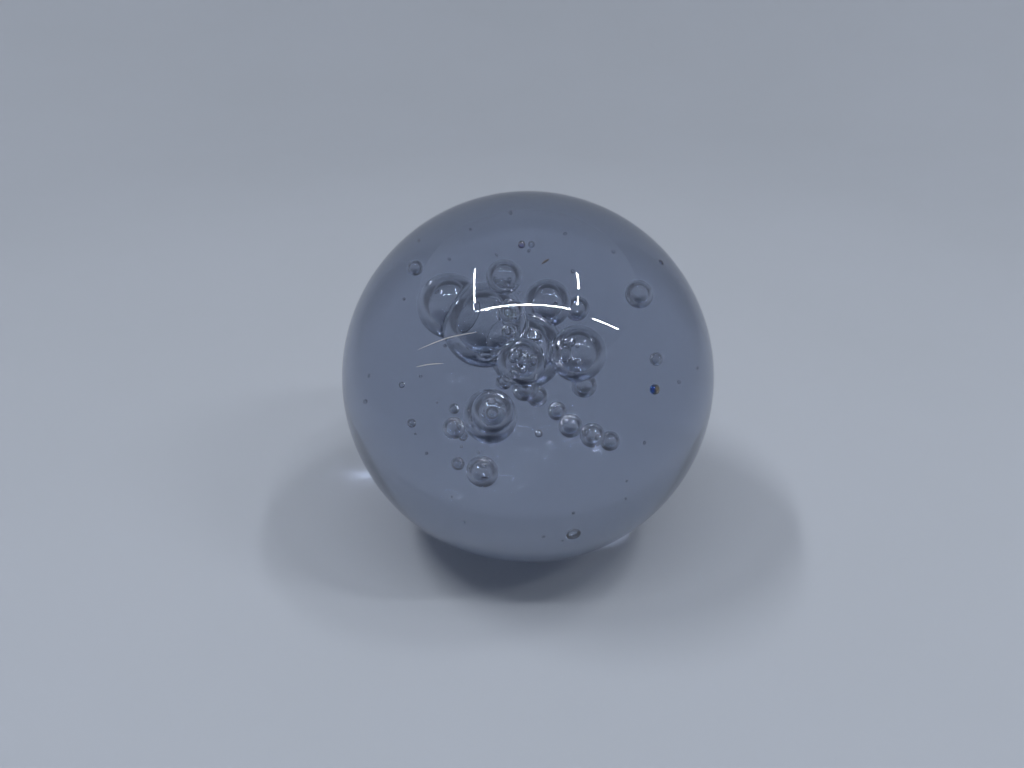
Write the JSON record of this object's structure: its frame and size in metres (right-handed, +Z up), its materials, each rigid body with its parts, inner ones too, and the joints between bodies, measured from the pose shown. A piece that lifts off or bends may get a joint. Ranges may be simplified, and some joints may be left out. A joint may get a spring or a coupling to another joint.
{
  "type": "paperweight",
  "caption": "Solid clear glass ball with a cluster of trapped air bubbles, resting on a small flat ground under it, for holding down loose paper.",
  "frame": {"origin": "centre of the flat ground on which the ball rests", "axes": "+Z up, -Y towards the viewer of the picture, +X to that viewer's right"},
  "size_m": [0.08, 0.08, 0.0782],
  "materials": {
    "glass": "polished clear glass with a faint blue-grey body tint",
    "air": "air behind a smooth fire-formed glass wall"
  },
  "bodies": {
    "root": {"glass_ball": "glass", "left_bubble": "air", "shoulder_bubble": "air", "rear_bubble": "air", "right_bubble": "air", "middle_bubble": "air", "ridge_bubble": "air", "saddle_bubble": "air", "crown_bubble": "air", "far_bubble": "air", "notch_bubble": "air", "chin_bubble": "air", "chin_left_bubble": "air", "chin_right_bubble": "air", "chin_low_bubble": "air", "low_bubble": "air", "low_front_bubble": "air", "follower_bubble": "air", "follower_low_bubble": "air", "follower_high_bubble": "air", "foot_bubble": "air", "toe_bubble": "air", "chain_bubble_1": "air", "chain_bubble_2": "air", "chain_bubble_3": "air", "chain_bubble_4": "air", "lone_bubble": "air", "east_bubble": "air", "east_mid_bubble": "air", "east_low_bubble": "air", "west_bubble": "air", "west_mid_bubble": "air", "west_low_bubble": "air", "twin_bubble": "air", "twin_right_bubble": "air", "base_bubble": "air", "rim_bubble": "air", "seeds_top": "air", "seeds_left": "air", "seeds_front": "air", "seeds_right": "air"}
  },
  "joints": []
}
